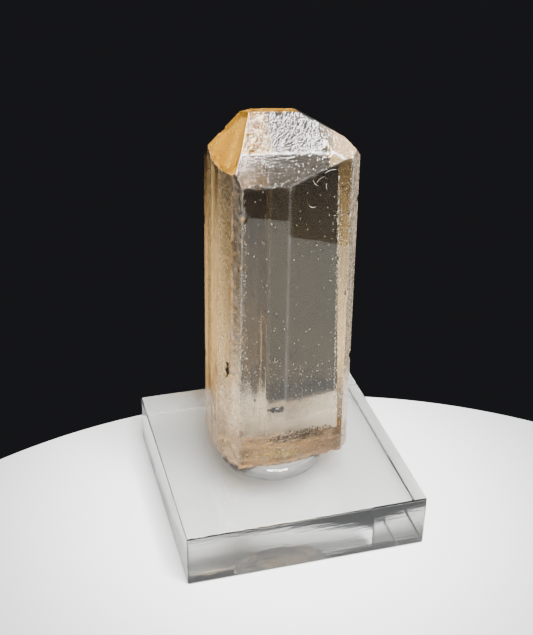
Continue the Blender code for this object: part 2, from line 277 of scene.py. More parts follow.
# Curved scratches: the face, their middle to the right of the axis and up, the radius of the curve,
# its first and last angle, in millimetres and degrees
SCRATCHES = [
    ("front_right", 5.0, 63.6, 1.8, 190, 250),
    ("front_right", 5.8, 61.4, 2.2, 95, 150),
    ("front_right", 7.9, 61.6, 1.9, 160, 205),
    ("front_right", 7.2, 61.8, 2.9, 70, 125),
    ("front_right", 3.6, 58.9, 1.2, 200, 290),
    ("right_front", 11.9, 62.4, 1.0, 20, 120),
    ("right_front", 12.4, 61.7, 1.3, 60, 150),
    ("right_front", 11.6, 61.2, 0.8, 180, 280),
]
SCRATCH_HALF_WIDTH = 0.06 * MM
SCRATCH_STEPS = 12

# Flakes and hollows inside the crystal: the middle of each cluster and its half sizes, how many
# flakes, their smallest and largest widths, in millimetres, and their colour
DARK_FLAKE = (0.022, 0.014, 0.009)
BROWN_FLAKE = (0.20, 0.12, 0.06)
PALE_FLAKE = (0.90, 0.86, 0.80)
# The gold flakes near the foot are painted glints: their bright gold stands in for light sparkling in the
# crystal's base
GOLD_GLINT_FLAKE = (0.98, 0.78, 0.36)
FLAKE_CLUSTERS = [
    ((-3.0, -9.3, 13.4), (1.9, 0.2, 0.55), 44, 0.8, 1.6, DARK_FLAKE),
    ((-2.9, -9.9, 13.8), (0.5, 0.1, 0.3), 5, 0.3, 0.6, PALE_FLAKE),
    ((2.7, -8.6, 6.1), (6.8, 0.6, 1.3), 330, 0.3, 0.9, BROWN_FLAKE),
    ((3.5, -8.7, 6.2), (5.5, 0.5, 0.9), 60, 0.2, 0.6, DARK_FLAKE),
    ((2.7, -8.8, 6.4), (6.5, 0.5, 1.2), 70, 0.15, 0.45, PALE_FLAKE),
    ((-1.6, -9.3, 2.2), (4.2, 0.5, 1.0), 220, 0.3, 1.0, GOLD_GLINT_FLAKE),
    ((-7.0, -9.3, 3.2), (3.0, 0.5, 1.8), 60, 0.2, 0.7, GOLD_GLINT_FLAKE),
    ((1.0, -8.6, 4.0), (8.5, 0.6, 2.2), 110, 0.2, 0.6, GOLD_GLINT_FLAKE),
    ((-9.1, -9.5, 18.5), (1.6, 0.2, 3.2), 80, 0.2, 0.5, PALE_FLAKE),
    ((-7.4, -9.2, 16.4), (0.3, 0.2, 0.5), 5, 0.3, 0.6, DARK_FLAKE),
    ((-12.2, -6.0, 22.6), (0.3, 0.6, 1.9), 34, 0.6, 1.3, DARK_FLAKE),
    ((-12.3, -3.4, 10.2), (0.3, 1.3, 1.2), 26, 0.3, 0.8, PALE_FLAKE),
    ((-12.2, -3.0, 10.6), (0.2, 0.8, 0.8), 7, 0.3, 0.7, DARK_FLAKE),
]

# One flake: its thickness, its corners, how far it turns and nods out of the upright, and its least
# and most flatness, reach and brightness
FLAKE_THICKNESS = 0.04 * MM
FLAKE_CORNERS = 6
FLAKE_TURN = 0.35
FLAKE_NOD = 0.5
FLAKE_SQUASH = (0.4, 0.8)
FLAKE_REACH = (0.6, 1.0)
FLAKE_SHADES = (0.75, 1.0)

# The block and the drop of adhesive, as in the solids. Clear pieces that touch sink into each other.
BLOCK_EDGE_RADIUS = 0.4 * MM
BLOCK_EDGE_STEPS = 4
DROP_CENTRE = Vector((-1.6 * MM, -1.2 * MM))
DROP_FLAT_RADIUS = 9.4 * MM
DROP_RIM_SWELL = 1.8 * MM
DROP_RIM_MIDDLE = 12.9 * MM
DROP_RIM_RISE = 1.7 * MM
DROP_RINGS = (0.0, 0.2, 0.4, 0.6, 0.8, 0.92, 1.0)
DROP_RIM_STEPS = 16
DROP_TURN_STEPS = 96
DROP_LONGEST_EDGE = 1.2 * MM
CONTACT_DEPTH = 0.04 * MM

# The camera that took the photograph, found from the block's corners
CAMERA_PLACE = Vector((-58.31 * MM, -193.31 * MM, 163.48 * MM))
CAMERA_TURN = 16.05
CAMERA_DIP = 30.55
CAMERA_ROLL = 1.08
CAMERA_LENS_MM = 64.73
CAMERA_NEAREST = 10 * MM

# The pale floor: a round table top, pulled in at the front, painted brighter round the block as a pool of
# light, and the dark room round it
FLOOR_CENTRE = Vector((-9.1 * MM, -87.5 * MM))
FLOOR_RADIUS = 123.5 * MM
FLOOR_PULL = 0.205
FLOOR_PULL_TURN = 24.0
FLOOR_GAP = 0.05 * MM
FLOOR_THICKNESS = 12 * MM
FLOOR_STEPS = 180
FLOOR_TONES = ((0.49, 0.52, 0.505, 1.0), (0.53, 0.55, 0.535, 1.0))
FLOOR_PAINTED_LIGHT_TONE = (0.955, 0.975, 0.955, 1.0)
FLOOR_PAINTED_LIGHT_REACH = (30 * MM, 75 * MM)
ROOM_COLOUR = (0.018, 0.018, 0.021, 1.0)

# Topaz, adhesive and acrylic: how each bends light, and what the topaz takes out of it
TOPAZ_BENDING = 1.615
TOPAZ_ABSORPTION = (0.96, 0.77, 0.42, 1.0)
TOPAZ_DENSITY = 44.0
ADHESIVE_BENDING = 1.47
ACRYLIC_BENDING = 1.49

# The fine marks of the topaz: the size of each noise, the values between which it rises, its height
FINE_LINE_SIZE = (0.28 * MM, 0.28 * MM, 14 * MM)
FINE_LINE_HEIGHT = 0.05 * MM
FINE_STROKE_SIZE = (0.35 * MM, 0.35 * MM, 1.8 * MM)
FINE_STROKE_TURN = (49.0, 0.0, 28.0)
FINE_STROKE_RAMP = (0.42, 0.6)
FINE_STROKE_HEIGHT = 0.07 * MM
PIT_SPACING = 0.75 * MM
PIT_RAMP = (0.08, 0.3)
PIT_HEIGHT = 0.035 * MM
FROST_SIZE = 0.22 * MM
FROST_HEIGHT = 0.035 * MM

# The wear of the topaz: its roughness where polished and fully frosted and under the veil, then the
# size of each noise, the values between which it changes and what it changes from and to
POLISH_ROUGHNESS = 0.01
FROST_ROUGHNESS = 0.45
VEIL_ROUGHNESS = 0.45
PATCH_SIZE = 1.6 * MM
PATCH_RAMP = (0.3, 0.7, 0.6, 1.1)
STREAK_SIZE = (0.5 * MM, 0.5 * MM, 9 * MM)
STREAK_RAMP = (0.35, 0.65, -0.5, 0.5)
SPECKLE_SIZE = 0.6 * MM
SPECKLE_RAMP = (0.35, 0.65, 0.6, 1.4)

# The other materials: the grains' two tones, the milky adhesive and the block's saw lines
DARK_GRAIN = (0.34, 0.29, 0.22, 1.0)
PALE_GRAIN = (0.90, 0.86, 0.78, 1.0)
ADHESIVE_COLOUR = (0.88, 0.87, 0.84, 1.0)
ADHESIVE_CLEARNESS = 0.78
RIPPLE_HEIGHT = 0.02 * MM
SAW_LINE_SIZE = (7 * MM, 7 * MM, 0.5 * MM)
SAW_LINE_HEIGHT = 0.03 * MM

# The ring of lamps above the front of the table
RING_TARGET = Vector((0.0, 0.0, 80 * MM))
RING_AZIMUTH = 10.0
RING_SLOPE = 62.0
RING_DISTANCE = 420 * MM
RING_RADIUS = 100 * MM
RING_LAMPS = 12
LAMP_SIZE = 60 * MM
RING_POWER = 6.7

# Where each kind of random detail starts
STROKE_SEED = 7
GRAIN_SEED = 8
FLAKE_SEED = 9


def facing(azimuth, slope):
    """The outward direction of a face that looks towards an azimuth and up by its slope."""
    turn = math.radians(azimuth)
    rise = math.radians(slope)
    return Vector((math.sin(turn) * math.cos(rise), -math.cos(turn) * math.cos(rise), math.sin(rise)))


def face_plane(name):
    """A crystal face as its outward direction and its distance from the middle of the foot."""
    if name == "foot":
        return Vector((0.0, 0.0, -1.0)), 0.0
    if name in PRISM_FACES:
        azimuth, slope, distance = PRISM_FACES[name]
        return facing(azimuth, slope), distance * MM
    azimuth, slope, axis_height = END_FACES[name]
    outward = facing(azimuth, slope)
    return outward, axis_height * MM * outward.z


def axes_of(outward):
    """The direction to the right and the direction up, as seen against an outward direction."""
    side = UP.cross(outward).normalized()
    return side, outward.cross(side)


def all_planes():
    """The outward directions and the distances of all faces, as two tables."""
    planes = [face_plane(name) for name in FACE_NAMES]
    return np.array([outward for outward, _ in planes]), np.array([distance for _, distance in planes])


def edge_point(first, second, measure, place):
    """The point of the edge between two faces at a given height or distance to the right."""
    along = UP if measure == "up" else Vector((1.0, 0.0, 0.0))
    planes = [face_plane(first), face_plane(second), (along, place * MM)]
    directions = Matrix([direction for direction, _ in planes])
    distances = Vector([distance for _, distance in planes])
    return directions.inverted() @ distances


def point_on(face, across, up):
    """The point of a face at a distance right of the axis and a height, both in millimetres."""
    outward, distance = face_plane(face)
    depth = (distance / MM - outward.x * across - outward.z * up) / outward.y
    return Vector((across, depth, up)) * MM


def crystal_placement():
    """From the crystal's own frame to the world."""
    lean_right = Matrix.Rotation(math.radians(LEAN_RIGHT), 4, "Y")
    lean_back = Matrix.Rotation(-math.radians(LEAN_BACK), 4, "X")
    return Matrix.Translation((0.0, 0.0, FOOT_HEIGHT)) @ lean_right @ lean_back


def added(name, data):
    """A new object in the scene for a mesh, a camera or a light."""
    made = bpy.data.objects.new(name, data)
    bpy.context.scene.collection.objects.link(made)
    return made


def added_in_crystal(name, mesh):
    """A new object whose mesh is in the crystal's own frame."""
    made = added(name, mesh)
    made.matrix_world = crystal_placement()
    return made


def mesh_from(shape, name):
    """A mesh from an edited shape, which is freed."""
    mesh = bpy.data.meshes.new(name)
    shape.to_mesh(mesh)
    shape.free()
    return mesh


def block_shape(low, high):
    """A plain block between two corners."""
    shape = bmesh.new()
    bmesh.ops.create_cube(shape, size=1.0)
    bmesh.ops.scale(shape, vec=high - low, verts=shape.verts)
    bmesh.ops.translate(shape, vec=(low + high) / 2, verts=shape.verts)
    return shape


def sliced_block():
    """The plain crystal: a block sliced by each of its faces."""
    shape = block_shape(ROUGH_LOW, ROUGH_HIGH)
    for name in FACE_NAMES[:-1]:
        outward, distance = face_plane(name)
        cut = bmesh.ops.bisect_plane(
            shape,
            geom=shape.verts[:] + shape.edges[:] + shape.faces[:],
            plane_co=outward * distance,
            plane_no=outward,
            clear_outer=True,
        )
        rim = [item for item in cut["geom_cut"] if isinstance(item, bmesh.types.BMEdge)]
        bmesh.ops.edgeloop_fill(shape, edges=rim)
    return mesh_from(shape, "sliced_block")


def fine_mesh():
    """The plain crystal on a fine even grid that keeps its edges."""
    coarse = added("coarse", sliced_block())
    remesh = coarse.modifiers.new("fine grid", "REMESH")
    remesh.mode = "SHARP"
    remesh.octree_depth = GRID_DEPTH
    remesh.scale = GRID_FILL
    remesh.use_remove_disconnected = False
    graph = bpy.context.evaluated_depsgraph_get()
    mesh = bpy.data.meshes.new_from_object(coarse.evaluated_get(graph))
    bpy.data.objects.remove(coarse)
    mesh.name = "topaz"
    return mesh


def make_finer(mesh, outward, distance):
    """Splits the grid in two on the faces with the finest marks."""
    shape = bmesh.new()
    shape.from_mesh(mesh)
    fine = {FACE_NAMES.index(name) for name in FINER_FACES}
    chosen = set()
    for face in shape.faces:
        off = outward @ np.array(face.calc_center_median()) - distance
        if int(off.argmax()) in fine:
            chosen.update(face.edges)
    bmesh.ops.subdivide_edges(shape, edges=list(chosen), cuts=1, use_grid_fill=True)
    bmesh.ops.triangulate(shape, faces=[face for face in shape.faces if len(face.verts) > 4])
    shape.to_mesh(mesh)
    shape.free()


def faces_of_polygons(mesh, outward, distance):
    """The crystal face that each polygon of the plain crystal lies on."""
    middles = np.empty(len(mesh.polygons) * 3)
    mesh.polygons.foreach_get("center", middles)
    return (middles.reshape(-1, 3) @ outward.T - distance).argmax(1)


def mark_sharp_edges(mesh, face_of):
    """Smooth polygons, with sharp edges between the crystal's faces."""
    shape = bmesh.new()
    shape.from_mesh(mesh)
    shape.faces.ensure_lookup_table()
    for edge in shape.edges:
        first, second = edge.link_faces
        edge.smooth = bool(face_of[first.index] == face_of[second.index])
    for face in shape.faces:
        face.smooth = True
    shape.to_mesh(mesh)
    shape.free()


def read_places(mesh):
    places = np.empty(len(mesh.vertices) * 3)
    mesh.vertices.foreach_get("co", places)
    return places.reshape(-1, 3)


def snapped(places, outward, distance):
    """The points moved onto the crystal's planes."""
    rows = np.arange(len(places))
    for _ in range(SNAP_ROUNDS):
        off = places @ outward.T - distance
        worst = off.argmax(1)
        places = places - outward[worst] * off[rows, worst][:, None]
    return places


def slant_between(outward):
    """The sine of the angle between each pair of faces."""
    cosine = np.clip(outward @ outward.T, -1.0, 1.0)
    return np.maximum(np.sqrt(1 - cosine**2), SMALLEST_SLANT)


class Surface:
    """The crystal's surface points: where each is, its face, the next face and the way to that edge."""

    def __init__(self, places, outward, distance):
        self.places = places
        off = places @ outward.T - distance
        self.nearest = off.argmax(1)
        gaps = -off / slant_between(outward)[self.nearest]
        gaps[np.arange(len(places)), self.nearest] = np.inf
        self.second = gaps.argmin(1)
        self.margin = gaps.min(1)

    def on(self, face):
        """Which points lie on a face."""
        return self.nearest == FACE_NAMES.index(face)

    def beside(self, face):
        """Which points have a face as their next one."""
        return self.second == FACE_NAMES.index(face)

    def finish(self, part):
        """One part of its face's finish for each point."""
        column = FINISH_PARTS.index(part)
        return np.array([FACE_FINISH[name][column] for name in FACE_NAMES])[self.nearest]

    def fade(self, reach):
        """From 0 at an edge to 1 at a reach from it, for each point."""
        return smooth_step(0.0, reach, self.margin)


def smooth_step(low, high, value):
    share = np.clip((value - low) / (high - low), 0.0, 1.0)
    return share * share * (3 - 2 * share)


def noise_at(places, scale, kind):
    """Smooth noise at each point, the point's coordinates divided by a scale for each axis."""
    inverse = Vector((1 / scale[0], 1 / scale[1], 1 / scale[2]))
    shift = NOISE_SHIFTS[kind]
    move = Vector((shift, 2.3 * shift, -1.7 * shift))
    return np.array([noise.noise(Vector(place) * inverse + move) for place in places])


def growth_lines(places):
    """How far the growth lines sink at each point, from 0 to 1."""
    wide = noise_at(places, (WIDE_LINE_WIDTH, WIDE_LINE_WIDTH, WIDE_LINE_LENGTH), "wide lines")
    narrow = noise_at(places, (LINE_WIDTH, LINE_WIDTH, LINE_LENGTH), "narrow lines")
    return np.clip(0.5 + 0.9 * wide + 0.6 * narrow, 0.0, 1.0)


def foot_relief(across, depth):
    """How far the broken foot lies above its flat plane, at a point of the crystal's own frame."""
    place = Vector((across, depth, 0.0)) / FOOT_LUMP_SIZE
    lumps = noise.noise(place) + 0.5 * noise.noise(place * 2.3 + Vector((5.0, 1.0, 0.0)))
    on_ledge = noise.noise(place * 0.45 + Vector((9.0, 2.0, 4.0))) > 0.05
    ledge = FOOT_LEDGE_PART if on_ledge else 0.0
    return FOOT_LUMP_HEIGHT * max(0.0, FOOT_BASE_PART + FOOT_LUMP_PART * lumps + ledge)


def on_face(places, name):
    """The points' places on a face: across it and up it, from where the face is nearest the axis."""
    side, up = axes_of(face_plane(name)[0])
    return places @ np.array(side), places @ np.array(up)


def hollow_sink(places):
    """How far the left roof's hollow sinks at each point of the roof."""
    across, up = on_face(places, "left_roof")
    across = (across - (across.min() + across.max()) / 2) / HOLLOW_HALF_WIDTH
    up = (up - (up.min() + up.max()) / 2) / HOLLOW_HALF_LENGTH
    return HOLLOW_DEPTH * np.clip(1 - across**2 - up**2, 0.0, 1.0)


def stroke_sink(places):
    """How far the slanting strokes sink at each point of the upper roof."""
    dice = random.Random(STROKE_SEED)
    across, up = on_face(places, "upper_roof")
    sink = np.zeros(len(places))
    turn = math.radians(STROKE_TILT)
    for _ in range(STROKE_COUNT):
        middle_across = dice.uniform(across.min(), across.max())
        middle_up = dice.uniform(up.min(), up.max())
        half_length = dice.uniform(*STROKE_LENGTHS) / 2
        half_width = dice.uniform(*STROKE_HALF_WIDTHS)
        depth = dice.uniform(*STROKE_DEPTHS)
        lean = turn + math.radians(dice.uniform(-STROKE_STRAY, STROKE_STRAY))
        along = (across - middle_across) * -math.sin(lean) + (up - middle_up) * math.cos(lean)
        aside = (across - middle_across) * math.cos(lean) + (up - middle_up) * math.sin(lean)
        shape = np.clip(1 - (aside / half_width) ** 2 - (along / half_length) ** 4, 0.0, 1.0)
        sink = np.maximum(sink, depth * shape)
    return sink


def lump_sink(places, height, size):
    """How far an uneven face sinks at each point."""
    broad = noise_at(places, (size,) * 3, "broad lumps")
    small = noise_at(places, (size / 2.4,) * 3, "small lumps")
    return height * np.clip(0.6 + broad + 0.4 * small, 0.0, 2.0)


def relief_sink(surface, strokes):
    """How far each point sinks below its face."""
    places = surface.places
    fade = surface.fade(LINE_FADE)
    sink = growth_lines(places) * LINE_DEPTH * surface.finish("lines") * fade
    roof = surface.on("left_roof")
    sink[roof] += hollow_sink(places[roof]) * fade[roof]
    upper = surface.on("upper_roof")
    sink[upper] += strokes * surface.fade(STROKE_FADE)[upper]
    for name, (height, size) in FACE_LUMPS.items():
        chosen = surface.on(name)
        sink[chosen] += lump_sink(places[chosen], height, size) * surface.fade(LUMP_FADE)[chosen]
    for index in np.nonzero(surface.on("foot"))[0]:
        sink[index] = foot_relief(places[index, 0], places[index, 1])
    return sink


def edge_wear(surface):
    """The extra matte share of the worn edges at each point."""
    uneven = np.clip(0.85 + 1.1 * noise_at(surface.places, (WEAR_PATCH,) * 3, "wear"), 0.3, 1.4)
    strength = np.full(len(surface.places), WEAR_MATTE_ELSEWHERE)
    for first, second in WORN_PAIRS:
        strength[surface.on(first) & surface.beside(second)] = WEAR_MATTE_END
        strength[surface.on(second) & surface.beside(first)] = WEAR_MATTE_END
    return strength * uneven * (1 - surface.fade(WEAR_REACH))


def skin_of(surface, strokes):
    """Each point's veil, whether it lies on the growth steps' face, its matte share and its painted glow,
    an orange tint for light seen through the crystal.
    """
    upper = surface.on("upper_roof")
    # The upper roof's left part is painted peach, a painted glow for light seen through it from the sides
    fade_start, fade_end = UPPER_GLOW_END - UPPER_GLOW_FADE, UPPER_GLOW_END + UPPER_GLOW_FADE
    left_part = 1 - smooth_step(fade_start, fade_end, surface.places[:, 0])
    matte = surface.finish("matte")
    matte[upper] += STROKE_MATTE * np.clip(strokes / STROKE_DEPTHS[0], 0.0, 1.0)
    matte[upper] += UPPER_GLOW_MATTE * left_part[upper]
    matte += edge_wear(surface)
    # Painted glow: the orange in these faces' matte skin stands in for light scattered out through the
    # crystal
    painted_glow = np.array([FACE_PAINTED_GLOW.get(name, 0.0) for name in FACE_NAMES])[surface.nearest]
    painted_glow[upper] = UPPER_PAINTED_GLOW * left_part[upper]
    return np.stack([surface.finish("veil"), surface.on("back_left"), matte, painted_glow], axis=1)


def bite_chips(places):
    """The points pushed in by the chips along the edges."""
    for (first, second, measure), chips in CHIPS.items():
        outward = (face_plane(first)[0] + face_plane(second)[0]).normalized()
        direction = np.array(outward)
        for place, radius, depth in chips:
            centre = edge_point(first, second, measure, place) + outward * (radius - depth) * MM
            away = places - np.array(centre)
            along = away @ direction
            aside = np.linalg.norm(away - along[:, None] * direction, axis=1)
            reach = radius * MM
            floor_of_bite = -np.sqrt(np.clip(reach**2 - aside**2, 0.0, None))
            inside = (aside < reach) & (along > floor_of_bite) & (along < reach)
            places[inside] += direction * (floor_of_bite - along)[inside][:, None]
    return places


def write_colours(mesh, name, colours):
    """Four values for each point, kept in the mesh under a name."""
    layer = mesh.attributes.new(name, "FLOAT_COLOR", "POINT")
    layer.data.foreach_set("color", np.array(colours, dtype=np.float32).ravel())


def make_crystal():
    """The fine crystal with its relief and its finish, and its surface points."""
    outward, distance = all_planes()
    mesh = fine_mesh()
    make_finer(mesh, outward, distance)
    surface = Surface(snapped(read_places(mesh), outward, distance), outward, distance)
    mesh.vertices.foreach_set("co", surface.places.ravel())
    face_of = faces_of_polygons(mesh, outward, distance)
    strokes = stroke_sink(surface.places[surface.on("upper_roof")])
    skin = skin_of(surface, strokes)
    sink = relief_sink(surface, strokes)
    surface.places = bite_chips(surface.places - outward[surface.nearest] * sink[:, None])
    mesh.vertices.foreach_set("co", surface.places.ravel())
    mark_sharp_edges(mesh, face_of)
    marks = [surface.finish(part) for part in ("frost", "lines", "strokes", "pits")]
    write_colours(mesh, "finish", np.stack(marks, axis=1))
    write_colours(mesh, "skin", skin)
    return added_in_crystal("topaz", mesh), surface


def grain_places(surface, face, neighbour, reach, lowest, highest):
    """The surface points of a face where grains may lie, nearer an edge than their reach."""
    chosen = surface.on(face) & (surface.margin < reach * MM)
    if neighbour:
        chosen &= surface.beside(neighbour)
    else:
        chosen &= surface.margin > GRAIN_EDGE_GAP
    heights = surface.places[:, 2]
    chosen &= (heights > lowest * MM) & (heights < highest * MM)
    return surface.places[chosen]


def add_grain(shape, dice, face, centre, stray, longest, lean):
    """One grain near a point of a face, a low pyramid on a long rhombus."""
    outward = face_plane(face)[0]
    side, up = axes_of(outward)
    if lean is None:
        turn = dice.uniform(0, math.tau)
    else:
        turn = math.radians(dice.gauss(lean, GRAIN_LEAN_SPREAD))
    length = longest * MM * dice.uniform(*GRAIN_LENGTHS)
    width = min(length * GRAIN_STOUTNESS, GRAIN_WIDTH * dice.uniform(*GRAIN_WIDTHS))
    lengthwise = side * math.sin(turn) + up * math.cos(turn)
    crosswise = lengthwise.cross(outward)
    centre = centre + (side * dice.uniform(-stray, stray) + up * dice.uniform(-stray, stray)) * MM
    ring = [lengthwise * length, crosswise * width, -lengthwise * length, -crosswise * width]
    rim = [shape.verts.new(centre + arm / 2) for arm in ring]
    peak = shape.verts.new(centre + outward * GRAIN_HEIGHT)
    for first, after in zip(rim, rim[1:] + rim[:1]):
        shape.faces.new((first, after, peak))
    shape.faces.new(reversed(rim))


def add_scratch(shape, face, across, up, radius, first_angle, last_angle):
    """One curved scratch as a thin raised ribbon, narrowing to its ends."""
    outward = face_plane(face)[0]
    side, rise = axes_of(outward)
    middle = point_on(face, across, up)
    before = None
    for step in range(SCRATCH_STEPS + 1):
        turn = math.radians(first_angle + (last_angle - first_angle) * step / SCRATCH_STEPS)
        arm = side * math.cos(turn) + rise * math.sin(turn)
        half_width = SCRATCH_HALF_WIDTH * math.sin(math.pi * (step + 1) / (SCRATCH_STEPS + 2))
        spine = middle + arm * radius * MM
        ribs = [spine - arm * half_width, spine + outward * GRAIN_HEIGHT, spine + arm * half_width]
        verts = [shape.verts.new(rib) for rib in ribs]
        if before:
            for first, after in ((0, 1), (1, 2), (2, 0)):
                shape.faces.new((before[first], before[after], verts[after], verts[first]))
        before = verts


def make_grains(surface):
    """Tiny bright chips, grains and scratches on the surface, all in one mesh."""
    dice = random.Random(GRAIN_SEED)
    shape = bmesh.new()
    for face, neighbour, count, reach, lowest, highest, longest, lean in GRAINS:
        spots = grain_places(surface, face, neighbour, reach, lowest, highest)
        for _ in range(count if len(spots) else 0):
            centre = Vector(spots[dice.randrange(len(spots))])
            add_grain(shape, dice, face, centre, GRAIN_STRAY, longest, lean)
    for face, start, end, count, stray, longest in SEAMS:
        for _ in range(count):
            across, up = Vector(start).lerp(Vector(end), dice.random())
            add_grain(shape, dice, face, point_on(face, across, up), stray, longest, 0)
    for scratch in SCRATCHES:
        add_scratch(shape, *scratch)
    bmesh.ops.recalc_face_normals(shape, faces=shape.faces)
    return added_in_crystal("grains", mesh_from(shape, "grains"))


def add_flake(shape, dice, centre, smallest, largest):
    """One flake inside the crystal, a low pyramid on each side of its uneven rim."""
    outward = Vector((dice.gauss(0, FLAKE_TURN), -1.0, dice.gauss(0, FLAKE_NOD))).normalized()
    side, up = axes_of(outward)
    radius = dice.uniform(smallest, largest) / 2 * MM
    squash = dice.uniform(*FLAKE_SQUASH)
    first_turn = dice.uniform(0, math.tau)
    rim = []
    for corner in range(FLAKE_CORNERS):
        turn = math.tau * corner / FLAKE_CORNERS
        reach = radius * dice.uniform(*FLAKE_REACH)
        arm = side * math.cos(turn) + up * math.sin(turn) * squash
        tilted = Matrix.Rotation(first_turn, 3, outward) @ arm
        rim.append(shape.verts.new(centre + tilted * reach))
    front = shape.verts.new(centre + outward * FLAKE_THICKNESS)
    back = shape.verts.new(centre - outward * FLAKE_THICKNESS)
    for first, after in zip(rim, rim[1:] + rim[:1]):
        shape.faces.new((first, after, front))
        shape.faces.new((after, first, back))


def make_flakes():
    """The flakes and hollows inside the crystal, all in one mesh, each with its colour."""
    dice = random.Random(FLAKE_SEED)
    shape = bmesh.new()
    colours = []
    for middle, half_sizes, count, smallest, largest, colour in FLAKE_CLUSTERS:
        for _ in range(count):
            spread = [dice.triangular(-1, 1, 0) * half for half in half_sizes]
            centre = (Vector(middle) + Vector(spread)) * MM
            add_flake(shape, dice, centre, smallest, largest)
            shade = dice.uniform(*FLAKE_SHADES)
            colours += [(*(part * shade for part in colour), 1.0)] * (FLAKE_CORNERS + 2)
    mesh = mesh_from(shape, "flakes")
    write_colours(mesh, "tint", colours)
    return added_in_crystal("flakes", mesh)


def drop_profile():
    """The drop's half outline, from the middle of its top over its swollen rim and back underneath."""
    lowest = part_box("acrylic_base")[1][2] - CONTACT_DEPTH
    profile = [(DROP_FLAT_RADIUS * ring, DROP_RIM_MIDDLE + DROP_RIM_RISE) for ring in DROP_RINGS]
    last_turn = -math.asin((DROP_RIM_MIDDLE - lowest) / DROP_RIM_RISE)
    for step in range(1, DROP_RIM_STEPS + 1):
        turn = math.pi / 2 + (last_turn - math.pi / 2) * step / DROP_RIM_STEPS
        radius = DROP_FLAT_RADIUS + DROP_RIM_SWELL * math.cos(turn)
        profile.append((radius, DROP_RIM_MIDDLE + DROP_RIM_RISE * math.sin(turn)))
    profile.append((0.0, lowest))
    return profile


def press_under_foot(shape):
    """Lowers the drop's top to the crystal's broken foot."""
    into_crystal = crystal_placement().inverted()
    for vertex in shape.verts:
        local = into_crystal @ vertex.co
        roof = foot_relief(local.x, local.y) + CONTACT_DEPTH
        if local.z > roof:
            local.z = roof
            vertex.co = into_crystal.inverted() @ local


def make_drop():
    """The drop of adhesive, turned from its half outline, its top following the crystal's foot."""
    shape = bmesh.new()
    verts = [shape.verts.new((radius, 0.0, height)) for radius, height in drop_profile()]
    edges = [shape.edges.new(pair) for pair in zip(verts, verts[1:])]
    bmesh.ops.spin(
        shape,
        geom=verts + edges,
        cent=(0, 0, 0),
        axis=UP,
        angle=math.tau,
        steps=DROP_TURN_STEPS,
        use_merge=True,
    )
    bmesh.ops.remove_doubles(shape, verts=shape.verts, dist=0.001 * MM)
    bmesh.ops.translate(shape, vec=(*DROP_CENTRE, 0.0), verts=shape.verts)
    long_edges = [edge for edge in shape.edges if edge.calc_length() > DROP_LONGEST_EDGE]
    bmesh.ops.subdivide_edges(shape, edges=long_edges, cuts=2)
    press_under_foot(shape)
    bmesh.ops.recalc_face_normals(shape, faces=shape.faces)
    for face in shape.faces:
        face.smooth = True
    return added("adhesive_drop", mesh_from(shape, "adhesive_drop"))


def make_block():
    """The acrylic block with its eased edges."""
    low, high = (Vector(corner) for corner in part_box("acrylic_base"))
    shape = block_shape(low, high)
    for face in shape.faces:
        face.smooth = True
    block = added("acrylic_block", mesh_from(shape, "acrylic_block"))
    easing = block.modifiers.new("eased edges", "BEVEL")
    easing.width = BLOCK_EDGE_RADIUS
    easing.segments = BLOCK_EDGE_STEPS
    easing.limit_method = "NONE"
    easing.harden_normals = True
    return block


